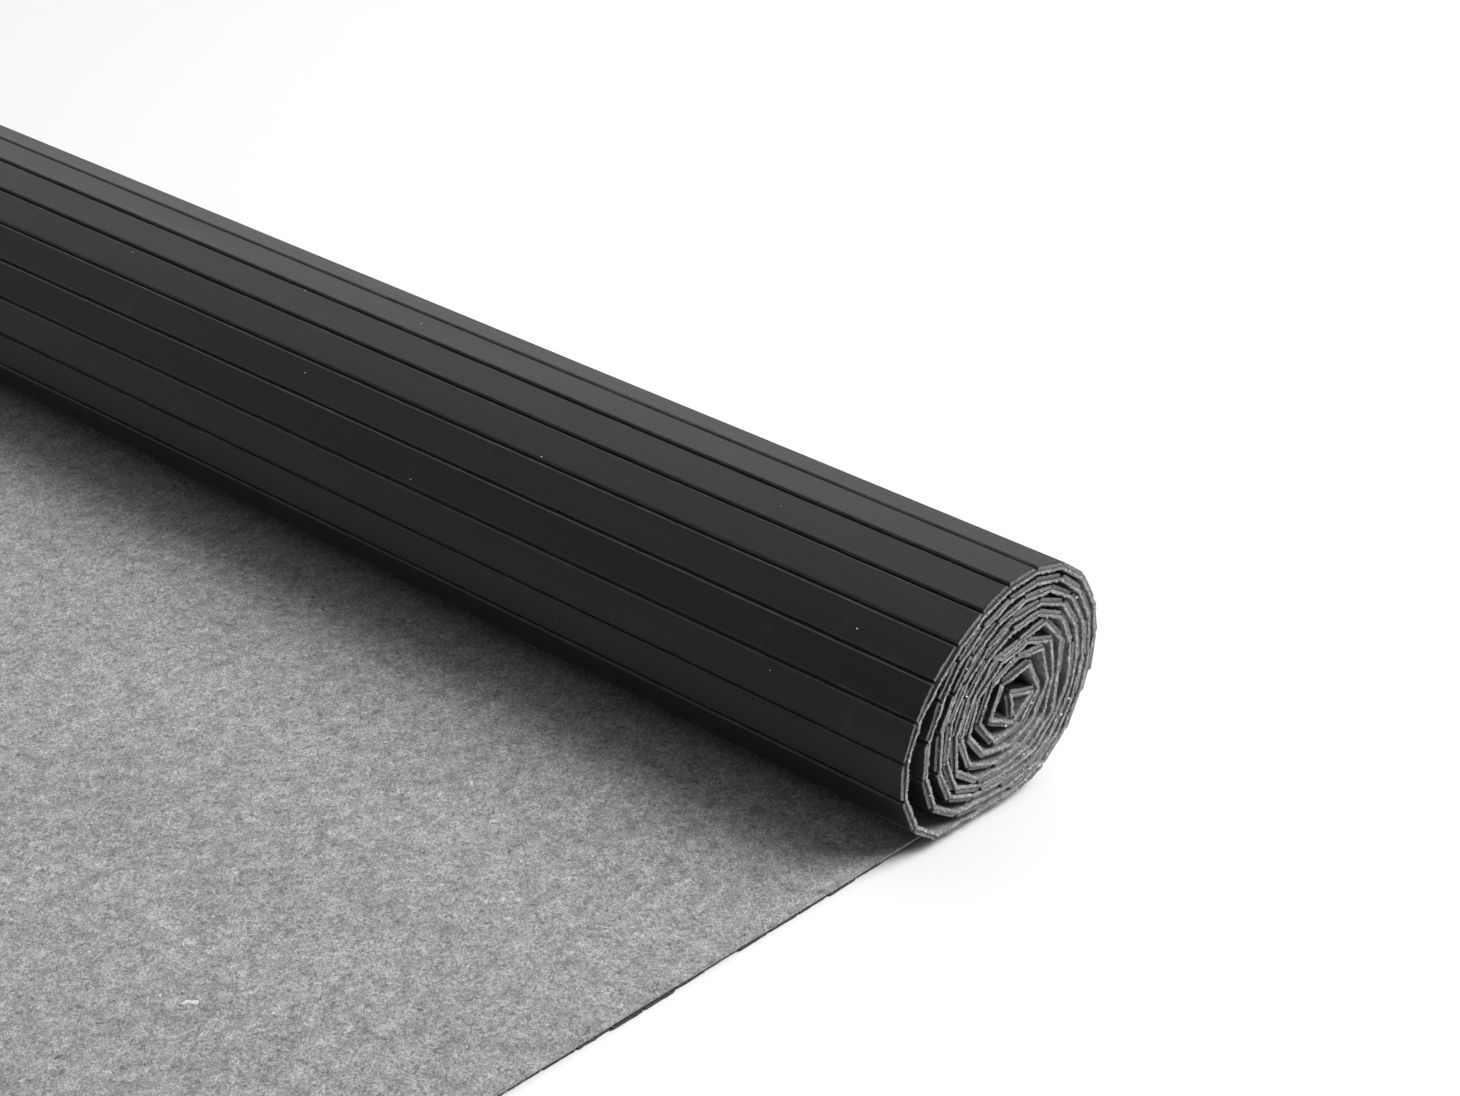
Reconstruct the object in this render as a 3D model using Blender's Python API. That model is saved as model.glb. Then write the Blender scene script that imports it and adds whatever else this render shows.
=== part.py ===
"""Bamboo mat, most of it rolled up, its last stretch lying flat with the felt side up.

The mat is a row of thin lacquered bamboo slats glued side by side on a felt backing.
X runs along the mat's length, Y along the slats, Z is up.  The floor is z = 0.
The winding is worked out slat by slat: each slat is a stiff strip that hinges on the felt
at its two long edges, and it lies on the inside of the turn around it.
"""
import math

import bmesh
import bpy
from mathutils import Vector
from mathutils.geometry import tessellate_polygon

MM = 0.001

# Sizes of the mat
SLAT_PITCH = 17.0 * MM       # from one joint between two slats to the next
NARROW_PITCH = 16.946 * MM   # the same for the slats between the outermost turn and the core
SLAT_THICK = 1.4 * MM
GLUE_LINE = 0.3 * MM         # between the felt and the back of a slat
FELT_THICK = 1.1 * MM
JOINT_WIDTH = 0.9 * MM       # open joint between two slats
EDGE_ROUND = 0.35 * MM       # broken long edges of a slat's face
MAT_WIDTH = 800.0 * MM       # along the slats
SLAT_SHORT = 1.0 * MM        # a slat is this much shorter than the felt is wide
FACE = GLUE_LINE + SLAT_THICK

# Sizes of the roll
LAYER_ROOM = 0.4 * MM        # least room between two turns
FIRST_JOINT_X = -377.4 * MM  # free end of the flat stretch
LIFT_X = 52.0 * MM           # the mat leaves the floor here
ROLL_CENTRE = (52.0 * MM, 46.4 * MM)
GUIDED_TURNS = 5.2           # turns that follow the table of coils
OUTER_SLATS = 22             # slats of the outermost turn
END_SHIFT = 8.3 * MM         # the flat stretch lies this much further back than the roll's end
SHIFT_SLATS = 7              # slats over which that shift fades out

# Coils, seen along +Y, by direction from the roll's centre (0 = +X, 90 = up):
# direction in degrees, radius of the outermost felt face, room for one turn,
# extra slack inside the first turn, extra slack inside the second turn (all mm)
COILS = (
    (270, 44.7, 3.60, 0.0, 0.0),
    (300, 44.6, 3.60, 0.0, 0.0),
    (330, 43.7, 3.60, 0.0, 0.0),
    (0, 46.8, 3.80, 0.0, 0.0),
    (30, 53.6, 4.20, 0.0, 0.0),
    (60, 59.0, 4.60, 0.0, 0.0),
    (90, 59.8, 4.80, 0.3, 0.3),
    (120, 60.6, 4.70, 1.0, 0.8),
    (150, 66.4, 4.60, 4.0, 1.8),
    (180, 75.4, 4.60, 7.4, 3.4),
    (210, 74.0, 4.30, 7.0, 3.2),
    (240, 51.8, 3.90, 1.5, 0.8),
)
COIL_STEP = 30.0
RADIUS, ROOM, SLACK_1, SLACK_2 = 1, 2, 3, 4

# The tight core doesn't follow a curve: its slats stand in nested, flattened polygons.
# Headings of these slats from the outside in, degrees from +X towards +Z, one row a turn
CORE_HEADINGS = (
    (81, 85, 133, 189, 189, 225, 249, 293, 341),
    (5, 33, 73, 97, 161, 189, 217, 249, 309, 349),
    (25, 61, 105, 173, 201, 245, 309),
    (5, 49, 117, 189, 245, 334),
    (41, 165),
)
LAST_HEADING = 281           # the innermost slat is a narrow one
LAST_SLAT = 11.5 * MM

# How far each slat's near end stands out, in turn, mm
END_STEPS = (0.3, -0.9, 0.6, 1.1, -0.4, -1.2, 0.2, 0.9, -0.6, 0.0, 1.3, -0.8, 0.5)

SLAT_COLOUR = (0.022, 0.022, 0.023, 1.0)
SLAT_ROUGHNESS = 0.38
FELT_COLOUR = (0.27, 0.27, 0.265, 1.0)
FELT_ROUGHNESS = 0.96


def unit(heading):
    """Unit vector (x, z) of a heading in radians."""
    return Vector((math.cos(heading), math.sin(heading)))


def inward(direction):
    """The side on which the next turn lies, left of the winding direction."""
    return Vector((-direction.y, direction.x))


def ease(value):
    """Smooth step from 0 to 1."""
    value = min(max(value, 0.0), 1.0)
    return value * value * (3.0 - 2.0 * value)


def coil_value(column, direction):
    """A column of the coil table at a direction in degrees, by a closed smooth curve."""
    count = len(COILS)
    place = ((direction - COILS[0][0]) % 360.0) / COIL_STEP
    first = int(place) % count
    f = place - int(place)
    a, b, c, d = (COILS[(first + k) % count][column] for k in (-1, 0, 1, 2))
    cubic = (2 * b) + (c - a) * f + (2 * a - 5 * b + 4 * c - d) * f * f
    return 0.5 * (cubic + (3 * b - a - 3 * c + d) * f ** 3)


def coil_point(angle):
    """Point of the felt's outer face after an angle in degrees, wound inwards from below."""
    direction = COILS[0][0] + angle
    turn = angle / 360.0
    radius = coil_value(RADIUS, direction) - coil_value(ROOM, direction) * turn
    radius -= coil_value(SLACK_1, direction) * ease((turn - 0.95) / 0.55)
    radius -= coil_value(SLACK_2, direction) * ease((turn - 1.95) / 0.55)
    point = Vector(ROLL_CENTRE) + unit(math.radians(direction)) * radius * MM
    if turn < 0.25:
        point.y = max(point.y, FACE)
    elif turn < 1.3:
        point.y = max(point.y, 2.0 * FACE + FELT_THICK + LAYER_ROOM)
    return point


def room(start, end, laid):
    """Least room between a slat and the felt of the slats laid around it."""
    along = (end - start).normalized()
    inner = inward(along)
    edge = JOINT_WIDTH / 2
    face = [start + along * t - inner * FACE for t in (edge, SLAT_PITCH / 2, SLAT_PITCH - edge)]
    least = SLAT_PITCH
    for a, b in laid:
        if ((a + b) - (start + end)).length > 52.0 * MM:
            continue
        other = (b - a).normalized()
        other_inner = inward(other)
        if other_inner.dot(inner) < 0.2:
            continue
        for point in face:
            if -0.3 * MM <= (point - a).dot(other) <= SLAT_PITCH + 0.3 * MM:
                least = min(least, (point - a).dot(other_inner) - FELT_THICK)
        for corner in (a + other_inner * FELT_THICK, b + other_inner * FELT_THICK):
            if edge <= (corner - start).dot(along) <= SLAT_PITCH - edge:
                least = min(least, -(corner - start).dot(inner) - FACE)
    return least


def wind():
    """Joints (x, z) of the whole mat on the felt's outer face, from the flat end to the core."""
    joints = [Vector((FIRST_JOINT_X, FACE))]
    while joints[-1].x + SLAT_PITCH < LIFT_X:
        joints.append(joints[-1] + Vector((SLAT_PITCH, 0.0)))
    flat_slats = len(joints) - 1
    angle = 0.0
    while True:
        here = joints[-1]
        outermost = len(joints) <= flat_slats + OUTER_SLATS
        pitch = SLAT_PITCH if outermost else NARROW_PITCH
        while (coil_point(angle + 1.0) - here).length < pitch:
            angle += 1.0
        low, high = angle, angle + 1.0
        for _ in range(20):
            middle = (low + high) / 2
            if (coil_point(middle) - here).length < pitch:
                low = middle
            else:
                high = middle
        angle = low
        if angle / 360.0 > GUIDED_TURNS:
            break
        course = coil_point(angle) - here
        heading = math.atan2(course.y, course.x)
        laid = list(zip(joints[:-1], joints[1:]))[:-2][-30:]
        while room(here, here + unit(heading) * pitch, laid) < LAYER_ROOM:
            heading += math.radians(0.5)
        joints.append(here + unit(heading) * pitch)
    for row in CORE_HEADINGS:
        for heading in row:
            joints.append(joints[-1] + unit(math.radians(heading)) * SLAT_PITCH)
    joints.append(joints[-1] + unit(math.radians(LAST_HEADING)) * LAST_SLAT)
    return joints, flat_slats


def end_shift(index, flat_slats):
    """Y of the felt's near edge at a joint."""
    return END_SHIFT * (1.0 - ease((index - flat_slats + 1) / SHIFT_SLATS))


def finish(name, mesh, colour, roughness, origin=(0.0, 0.0, 0.0), turn=0.0):
    """Object with its own material, standing under the mat's empty."""
    material = bpy.data.materials.new(name + "_finish")
    material.use_nodes = True
    shader = material.node_tree.nodes["Principled BSDF"]
    shader.inputs["Base Color"].default_value = colour
    shader.inputs["Roughness"].default_value = roughness
    shader.inputs["Metallic"].default_value = 0.0
    mesh.materials.append(material)
    piece = bpy.data.objects.new(name, mesh)
    bpy.context.collection.objects.link(piece)
    piece.location = origin
    piece.rotation_euler = (0.0, turn, 0.0)
    piece.parent = mat
    return piece


def prism(name, loop, near, far, caps):
    """Closed mesh between two copies of a loop of (x, z) points, at Y near[i] and far[i]."""
    shape = bmesh.new()
    front = [shape.verts.new((p.x, y, p.y)) for p, y in zip(loop, near)]
    back = [shape.verts.new((p.x, y, p.y)) for p, y in zip(loop, far)]
    count = len(loop)
    for i in range(count):
        j = (i + 1) % count
        shape.faces.new((front[i], front[j], back[j], back[i]))
    for corners in caps:
        shape.faces.new([front[i] for i in corners])
        shape.faces.new([back[i] for i in reversed(corners)])
    bmesh.ops.recalc_face_normals(shape, faces=shape.faces[:])
    mesh = bpy.data.meshes.new(name)
    shape.to_mesh(mesh)
    shape.free()
    return mesh


def make_slat(name, start, end, near):
    """One slat outside the felt between two joints, its near end at Y near."""
    width = (end - start).length - JOINT_WIDTH
    half = width / 2
    cut = EDGE_ROUND
    loop = [Vector(p) for p in (
        (-half, 0.0), (half, 0.0), (half, -SLAT_THICK + cut), (half - cut, -SLAT_THICK),
        (-half + cut, -SLAT_THICK), (-half, -SLAT_THICK + cut))]
    length = MAT_WIDTH - SLAT_SHORT
    mesh = prism(name, loop, [0.0] * len(loop), [length] * len(loop), [tuple(range(len(loop)))])
    along = (end - start).normalized()
    back = (start + end) / 2 - inward(along) * GLUE_LINE
    turn = -math.atan2(along.y, along.x)
    return finish(name, mesh, SLAT_COLOUR, SLAT_ROUGHNESS, (back.x, near, back.y), turn)


def make_flat_felt(joints, last):
    """Felt of the flat stretch, up to a joint, with its slightly uneven cut edges."""
    under = []
    y_near = []
    stations = 2 * last
    length = joints[last].x - GLUE_LINE / 2 - joints[0].x
    for i in range(stations + 1):
        under.append(joints[0].x + length * i / stations)
        wave = 0.35 * math.sin(0.9 * i) + 0.25 * math.sin(2.3 * i + 1.0)
        y_near.append(END_SHIFT + wave * MM * (1.0 - ease((i - stations + 4) / 4)))
    shape = bmesh.new()
    rows = []
    for x, near in zip(under, y_near):
        low = FACE
        high = FACE + FELT_THICK
        far = near + MAT_WIDTH
        rows.append([shape.verts.new(p) for p in (
            (x, near, low), (x, far, low), (x, far, high), (x, near, high))])
    for a, b in zip(rows[:-1], rows[1:]):
        for k in range(4):
            m = (k + 1) % 4
            shape.faces.new((a[k], a[m], b[m], b[k]))
    shape.faces.new(rows[0])
    shape.faces.new(rows[-1])
    bmesh.ops.recalc_face_normals(shape, faces=shape.faces[:])
    mesh = bpy.data.meshes.new("felt_flat")
    shape.to_mesh(mesh)
    shape.free()
    return finish("felt_flat", mesh, FELT_COLOUR, FELT_ROUGHNESS)


def make_roll(joints, flat_slats, first):
    """The wound felt with the slats of all turns but the outermost fused to it."""
    ends = len(joints) - 1
    fused_from = flat_slats + OUTER_SLATS
    loop = []
    near = []
    along = [(b - a).normalized() for a, b in zip(joints[:-1], joints[1:])]
    for k in range(first, ends):
        shift = end_shift(k, flat_slats)
        start = joints[k]
        if k == first:
            start = start + along[k] * GLUE_LINE / 2
        loop.append(start)
        near.append(shift)
        if k < fused_from:
            continue
        step = along[k] * JOINT_WIDTH / 2
        out = inward(along[k]) * FACE
        stand = shift - END_STEPS[k % len(END_STEPS)] * MM * 0.5
        for point, y in (
            (joints[k] + step, shift), (joints[k] + step - out, stand),
            (joints[k + 1] - step - out, stand), (joints[k + 1] - step, shift),
        ):
            loop.append(point)
            near.append(y)
    loop.append(joints[ends])
    near.append(0.0)
    for k in range(ends, first - 1, -1):
        if k == ends:
            point = joints[k] + inward(along[k - 1]) * FELT_THICK
        elif k == first:
            point = joints[k] + along[k] * GLUE_LINE / 2 + inward(along[k]) * FELT_THICK
        else:
            middle = (inward(along[k - 1]) + inward(along[k])).normalized()
            point = joints[k] + middle * FELT_THICK / middle.dot(inward(along[k]))
        loop.append(point)
        near.append(end_shift(k, flat_slats))
    caps = tessellate_polygon([[Vector((p.x, p.y, 0.0)) for p in loop]])
    far = [MAT_WIDTH + y for y in near]
    mesh = prism("felt_roll", loop, near, far, caps)
    return finish("felt_roll", mesh, FELT_COLOUR, FELT_ROUGHNESS)


for old in list(bpy.data.objects):
    bpy.data.objects.remove(old)

mat = bpy.data.objects.new("mat", None)
bpy.context.collection.objects.link(mat)

joints, flat_slats = wind()
felt_split = flat_slats - 1
make_flat_felt(joints, felt_split)
make_roll(joints, flat_slats, felt_split)

for k in range(flat_slats + OUTER_SLATS):
    stand = END_STEPS[k % len(END_STEPS)] * MM
    near = (end_shift(k, flat_slats) + end_shift(k + 1, flat_slats)) / 2 - stand
    kind = "flat_slat" if k < flat_slats else "outer_slat"
    number = k + 1 if k < flat_slats else k + 1 - flat_slats
    make_slat("%s_%02d" % (kind, number), joints[k], joints[k + 1], near)

# The mat's origin is the middle of the floor under its bounding box
bpy.context.view_layer.update()
corners = [piece.matrix_world @ vert.co for piece in mat.children for vert in piece.data.vertices]
low = [min(c[axis] for c in corners) for axis in range(3)]
high = [max(c[axis] for c in corners) for axis in range(3)]
mat.location = (-(low[0] + high[0]) / 2, -(low[1] + high[1]) / 2, -low[2])
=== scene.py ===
# %% [markdown]
# # A bamboo mat, half unrolled
# The object is a mat of thin lacquered bamboo slats, glued side by side on grey felt. Most of it
# is wound into a flattened roll, slats outside, and the last stretch lies flat with its felt up.
# The looks are built around a imported CAD model, which is loaded first and never moved.
# Its box is kept: it is printed, and its lowest point sets the floor.

# %% Load the fixed frame
import math
import random

import bmesh
import bpy
from mathutils import Matrix, Vector, noise


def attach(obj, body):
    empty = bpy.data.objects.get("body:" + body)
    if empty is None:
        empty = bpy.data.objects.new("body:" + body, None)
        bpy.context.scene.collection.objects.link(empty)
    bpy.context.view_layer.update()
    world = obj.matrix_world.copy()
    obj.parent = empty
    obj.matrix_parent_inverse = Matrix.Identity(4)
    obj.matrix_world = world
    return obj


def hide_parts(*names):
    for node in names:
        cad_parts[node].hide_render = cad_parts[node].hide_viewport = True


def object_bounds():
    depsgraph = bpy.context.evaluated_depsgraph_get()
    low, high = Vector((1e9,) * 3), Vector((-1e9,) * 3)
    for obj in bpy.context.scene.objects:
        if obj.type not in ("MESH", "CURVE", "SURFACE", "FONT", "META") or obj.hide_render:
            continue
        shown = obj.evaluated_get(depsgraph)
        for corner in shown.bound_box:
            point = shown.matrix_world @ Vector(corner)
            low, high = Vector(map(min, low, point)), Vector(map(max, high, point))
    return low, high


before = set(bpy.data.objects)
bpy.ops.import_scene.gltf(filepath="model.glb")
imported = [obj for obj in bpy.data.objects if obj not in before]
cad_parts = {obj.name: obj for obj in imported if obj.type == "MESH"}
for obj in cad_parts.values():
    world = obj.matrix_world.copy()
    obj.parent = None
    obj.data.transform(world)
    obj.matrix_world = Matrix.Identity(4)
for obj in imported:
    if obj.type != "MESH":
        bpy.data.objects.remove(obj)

cad_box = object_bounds()
print("CAD box:", [round(side, 4) for corner in cad_box for side in corner])

# %% [markdown]
# ## Sizes
# A mat maker would write these down first: how wide a slat is, how thick slat and felt are, and
# how much of an open joint is left between two slats, because the mat folds in these joints.
# Everything is in metres. The numbers are the same as in the CAD model.

# %% Sizes of the mat
MM = 0.001
SLAT_PITCH = 17.0 * MM
NARROW_PITCH = 16.946 * MM   # for the slats between the outermost turn and the core
JOINT_WIDTH = 0.9 * MM
FACE = 1.7 * MM              # from the felt's outer face to a slat's lacquered face
FELT_THICK = 1.1 * MM
MAT_WIDTH = 800.0 * MM
SLAT_LENGTH = MAT_WIDTH - 1.0 * MM
SHIFT = Vector((138.316 * MM, -403.790 * MM))   # the mat's near left corner, seen from above

# %% [markdown]
# ## How the mat is wound
# Each slat is stiff and hinges on the felt at its long edges, so the roll isn't a smooth spiral
# but a chain of straight 17 mm steps. A spiral curve with a profile swept along it would be
# quicker, but its turns would be too round, and the slats would have to bend. Here the
# outer five turns follow a table of radii, and each slat is turned inwards until it clears the
# turn around it. Past the outermost turn the slats are 0.05 mm narrower, which sets where the
# core lies. The tight core is a list of headings, because there the slats stand in flattened
# polygons.

# %% Table of the coils
ROLL_CENTRE = Vector((52.0 * MM, 46.4 * MM))
FIRST_JOINT_X = -377.4 * MM
LIFT_X = 52.0 * MM
LAYER_ROOM = 0.4 * MM
GUIDED_TURNS = 5.2
OUTER_SLATS = 22

# direction from the centre in degrees, radius, room for a turn, slack in turns one and two (mm)
COILS = (
    (270, 44.7, 3.60, 0.0, 0.0),
    (300, 44.6, 3.60, 0.0, 0.0),
    (330, 43.7, 3.60, 0.0, 0.0),
    (0, 46.8, 3.80, 0.0, 0.0),
    (30, 53.6, 4.20, 0.0, 0.0),
    (60, 59.0, 4.60, 0.0, 0.0),
    (90, 59.8, 4.80, 0.3, 0.3),
    (120, 60.6, 4.70, 1.0, 0.8),
    (150, 66.4, 4.60, 4.0, 1.8),
    (180, 75.4, 4.60, 7.4, 3.4),
    (210, 74.0, 4.30, 7.0, 3.2),
    (240, 51.8, 3.90, 1.5, 0.8),
)
CORE_HEADINGS = (
    (81, 85, 133, 189, 189, 225, 249, 293, 341),
    (5, 33, 73, 97, 161, 189, 217, 249, 309, 349),
    (25, 61, 105, 173, 201, 245, 309),
    (5, 49, 117, 189, 245, 334),
    (41, 165),
)
LAST_HEADING = 281
LAST_SLAT = 11.5 * MM


def unit(heading):
    """Unit vector (x, z) of a heading in radians."""
    return Vector((math.cos(heading), math.sin(heading)))


def inward(direction):
    """The side on which the next turn lies, left of the winding direction."""
    return Vector((-direction.y, direction.x))


def ease(value):
    """Smooth step from 0 to 1."""
    value = min(max(value, 0.0), 1.0)
    return value * value * (3.0 - 2.0 * value)


def coil_value(column, direction):
    """A column of the table at a direction in degrees, by a closed smooth curve."""
    count = len(COILS)
    place = ((direction - COILS[0][0]) % 360.0) / 30.0
    first = int(place) % count
    f = place - int(place)
    a, b, c, d = (COILS[(first + k) % count][column] for k in (-1, 0, 1, 2))
    cubic = (2 * b) + (c - a) * f + (2 * a - 5 * b + 4 * c - d) * f * f
    return 0.5 * (cubic + (3 * b - a - 3 * c + d) * f ** 3)


def coil_point(angle):
    """Point of the felt's outer face after an angle in degrees, wound inwards from below."""
    direction = COILS[0][0] + angle
    turn = angle / 360.0
    radius = coil_value(1, direction) - coil_value(2, direction) * turn
    radius -= coil_value(3, direction) * ease((turn - 0.95) / 0.55)
    radius -= coil_value(4, direction) * ease((turn - 1.95) / 0.55)
    point = ROLL_CENTRE + unit(math.radians(direction)) * radius * MM
    if turn < 0.25:
        point.y = max(point.y, FACE)
    elif turn < 1.3:
        point.y = max(point.y, 2.0 * FACE + FELT_THICK + LAYER_ROOM)
    return point


# %% [markdown]
# The next cell lays the slats one after another. `room` measures how far a new slat stays from
# the felt of the turn around it, and `wind` turns the slat by half a degree at a time until
# that is enough. The result is a list of joints, the points where the mat can fold.

# %% Wind the mat
SLAT_REACH = 26.0 * MM       # slats whose middles are further apart than this can't meet
LOOK_BACK = 30               # the slats that a new one is tested against
TURN_STEP = math.radians(0.5)
HALVINGS = 20


def room(start, end, laid):
    """Least room between a slat and the felt of the slats laid around it."""
    along = (end - start).normalized()
    inner = inward(along)
    edge = JOINT_WIDTH / 2
    face = [start + along * t - inner * FACE for t in (edge, SLAT_PITCH / 2, SLAT_PITCH - edge)]
    least = SLAT_PITCH
    for a, b in laid:
        if ((a + b) - (start + end)).length > 2.0 * SLAT_REACH:
            continue
        other = (b - a).normalized()
        other_inner = inward(other)
        if other_inner.dot(inner) < 0.2:
            continue
        for point in face:
            if -0.3 * MM <= (point - a).dot(other) <= SLAT_PITCH + 0.3 * MM:
                least = min(least, (point - a).dot(other_inner) - FELT_THICK)
        for corner in (a + other_inner * FELT_THICK, b + other_inner * FELT_THICK):
            if edge <= (corner - start).dot(along) <= SLAT_PITCH - edge:
                least = min(least, -(corner - start).dot(inner) - FACE)
    return least


def wind():
    """Joints (x, z) of the whole mat, from the flat end to the core, and how many lie flat."""
    joints = [Vector((FIRST_JOINT_X, FACE))]
    while joints[-1].x + SLAT_PITCH < LIFT_X:
        joints.append(joints[-1] + Vector((SLAT_PITCH, 0.0)))
    flat_slats = len(joints) - 1
    angle = 0.0
    while True:
        here = joints[-1]
        outermost = len(joints) <= flat_slats + OUTER_SLATS
        pitch = SLAT_PITCH if outermost else NARROW_PITCH
        while (coil_point(angle + 1.0) - here).length < pitch:
            angle += 1.0
        low = angle
        high = angle + 1.0
        for _ in range(HALVINGS):
            middle = (low + high) / 2
            if (coil_point(middle) - here).length < pitch:
                low = middle
            else:
                high = middle
        angle = low
        if angle / 360.0 > GUIDED_TURNS:
            break
        course = coil_point(angle) - here
        heading = math.atan2(course.y, course.x)
        laid = list(zip(joints[:-1], joints[1:]))[:-2][-LOOK_BACK:]
        while room(here, here + unit(heading) * pitch, laid) < LAYER_ROOM:
            heading += TURN_STEP
        joints.append(here + unit(heading) * pitch)
    for row in CORE_HEADINGS:
        for heading in row:
            joints.append(joints[-1] + unit(math.radians(heading)) * SLAT_PITCH)
    joints.append(joints[-1] + unit(math.radians(LAST_HEADING)) * LAST_SLAT)
    return [joint + Vector((SHIFT.x, 0.0)) for joint in joints], flat_slats


joints, flat_slats = wind()
slat_count = len(joints) - 1
courses = [(b - a).normalized() for a, b in zip(joints[:-1], joints[1:])]

# %% [markdown]
# ## Where the near edge lies
# The flat stretch lies a little further back than the roll's end, and the mat slides forward
# over the first slats that rise from the floor. No slat is cut quite to the same place, so
# each one also stands out or back by up to a millimetre.

# %% Near edge of the felt and of each slat
END_SHIFT = 8.3 * MM
SHIFT_SLATS = 7
END_STEPS = (0.3, -0.9, 0.6, 1.1, -0.4, -1.2, 0.2, 0.9, -0.6, 0.0, 1.3, -0.8, 0.5)
STANDS_OUT = {11: 0.8, 12: 1.3, 13: 1.2, 14: 0.7, 16: 0.5, 17: 0.6, 18: 0.6, 19: 0.5}   # mm


def felt_near(place):
    """Y of the felt's near edge at a place along the mat, counted in slats."""
    return SHIFT.y + END_SHIFT * (1.0 - ease((place - flat_slats + 1) / SHIFT_SLATS))


def slat_near(number):
    """Y of a slat's near end."""
    middle = (felt_near(number) + felt_near(number + 1)) / 2
    step = END_STEPS[number % len(END_STEPS)]
    if number < flat_slats:
        step = 0.2 * step - 0.4 + STANDS_OUT.get(number, 0.0)
    elif number < flat_slats + OUTER_SLATS:
        step *= 0.35
    else:
        step *= 0.6
    return middle - step * MM


print("near edge: flat %.4f, roll %.4f" % (felt_near(0), felt_near(slat_count)))

# %% [markdown]
# ## Camera
# The camera comes early. It looks down at 28 degrees across the roll's end, with a long lens,
# so the slats run almost parallel.

# %% Camera
LENS = 79.88
camera_data = bpy.data.cameras.new("camera")
camera_data.lens = LENS
camera_data.sensor_width = 36.0
camera = bpy.data.objects.new("camera", camera_data)
bpy.context.collection.objects.link(camera)
camera.location = (-0.70478, -1.09029, 0.7091)
camera.rotation_euler = (math.radians(90.0 - 27.87), 0.0, math.radians(-46.55))
bpy.context.scene.camera = camera
print("camera", [round(value, 3) for value in camera.location], "lens", LENS)

# %% [markdown]
# ## Small helpers
# Operators act on whatever is selected, so every step starts by selecting one object alone.
# Edges are picked in edit mode by a test on their two ends.

# %% Selecting
def only(piece):
    """Select one object alone."""
    if bpy.context.object and bpy.context.object.mode != "OBJECT":
        bpy.ops.object.mode_set(mode="OBJECT")
    bpy.ops.object.select_all(action="DESELECT")
    piece.select_set(True)
    bpy.context.view_layer.objects.active = piece


def pick_edges(piece, wanted):
    """In edit mode, select the edges whose two ends pass a test."""
    bpy.ops.mesh.select_mode(type="EDGE")
    bpy.ops.mesh.select_all(action="DESELECT")
    shape = bmesh.from_edit_mesh(piece.data)
    found = 0
    for edge in shape.edges:
        if wanted(edge.verts[0].co, edge.verts[1].co):
            edge.select_set(True)
            found += 1
    bmesh.update_edit_mesh(piece.data)
    return found


# %% [markdown]
# ## One slat
# A slat is split from a thick cane and planed flat: 16.1 mm wide, about 1.7 mm thick, with
# broken long edges on its lacquered face. It starts as a cube at its real size. The two outer
# long edges are bevelled, the face is cut into strips, so that it can be a little crowned, and the
# long edges are subdivided into rings, so that a copy can bow and carry its knuckles.

# %% Cut one slat
SLAT_WIDTH = SLAT_PITCH - JOINT_WIDTH
EDGE_ROUND = 0.85 * MM
FELT_SKIN = 0.03 * MM        # a slat's back stays this far out of the felt
FLOOR_ROOM = 0.02 * MM       # and its face this far above the floor


def cut_slat(name, rings):
    """A straight slat in local axes: x across, y along, z = 0 at the felt."""
    bpy.ops.object.select_all(action="DESELECT")
    bpy.ops.mesh.primitive_cube_add(
        size=1.0, location=(0.0, SLAT_LENGTH / 2, -(FACE + FELT_SKIN) / 2),
        scale=(SLAT_WIDTH, SLAT_LENGTH, FACE - FELT_SKIN))
    slat = bpy.context.object
    slat.name = name
    bpy.ops.object.transform_apply(location=True, rotation=True, scale=True)
    bpy.ops.object.mode_set(mode="EDIT")
    face = -FACE + 0.01 * MM
    pick_edges(slat, lambda a, b: abs(a.y - b.y) > 0.5 and a.z < face and b.z < face)
    bpy.ops.mesh.bevel(offset=EDGE_ROUND, segments=3, profile=0.35, affect="EDGES")
    pick_edges(slat, lambda a, b: abs(a.x - b.x) > SLAT_WIDTH / 2 and a.z < face and b.z < face)
    bpy.ops.mesh.subdivide(number_cuts=3)
    pick_edges(slat, lambda a, b: abs(a.y - b.y) > 0.5)
    bpy.ops.mesh.subdivide(number_cuts=rings - 2)
    bpy.ops.object.mode_set(mode="OBJECT")
    return slat


roll_master = cut_slat("roll_master", 121)
flat_master = cut_slat("flat_master", 41)
core_master = cut_slat("core_master", 11)
print("a slat of the outer turn has", len(roll_master.data.vertices), "points, a flat one",
      len(flat_master.data.vertices), "and an inner one", len(core_master.data.vertices))

# %% [markdown]
# ## Shaping a copy
# Every slat comes from another piece of cane. A copy gets its own knuckles, a faint bow and a
# rough end, and is then laid between its two joints. Four attributes go with each point for the
# materials: its place on the flat slat, how near it is to a knuckle, the slat's tone, and how
# dark its sawn ends are: a random stain on the roll's slats, painted shade on the flat ones.

# %% Shape and lay a slat
KNUCKLE_STEPS = (-4.5, -2.2, -0.9, 0.0, 0.9, 2.2, 4.5)
END_RINGS = (0.0, 0.25, 1.3, 4.0)
RING_POINTS = 13             # points in one ring of a slat
KNUCKLE_REACH = 1.8 * MM
FLAT_END_SHADE = 0.88            # how dark the sawn ends of the flat slats are painted: painted shade under the felt's overhang
CROWN = 0.02                 # these five are in mm
RIDGE = 0.05
BOW = 0.06
WANDER = 0.16
CHIP = 0.14


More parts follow.
